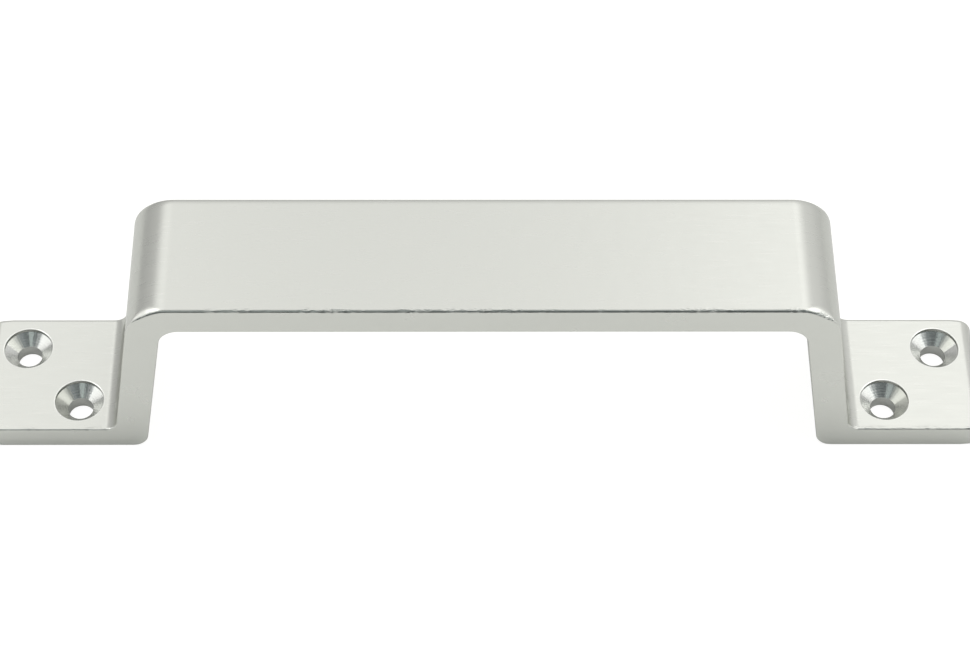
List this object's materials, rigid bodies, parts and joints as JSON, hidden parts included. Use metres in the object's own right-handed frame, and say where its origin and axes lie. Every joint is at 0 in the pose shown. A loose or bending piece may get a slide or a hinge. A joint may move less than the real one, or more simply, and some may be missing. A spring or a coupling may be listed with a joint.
{
  "type": "strip handle",
  "caption": "Flat strip pull handle in satin aluminium: a raised grip on splayed legs, with flat feet drilled and countersunk for screws.",
  "frame": {"origin": "on the mounting plane, midway between the feet and midway across the strip", "axes": "+X along the grip, +Y across the strip towards the outer screw holes, +Z away from the mounting surface"},
  "size_m": [0.185, 0.0254, 0.0405],
  "materials": {
    "satin_aluminium": "satin, natural anodised"
  },
  "bodies": {
    "root": {"strip_handle": "satin_aluminium"}
  },
  "joints": []
}
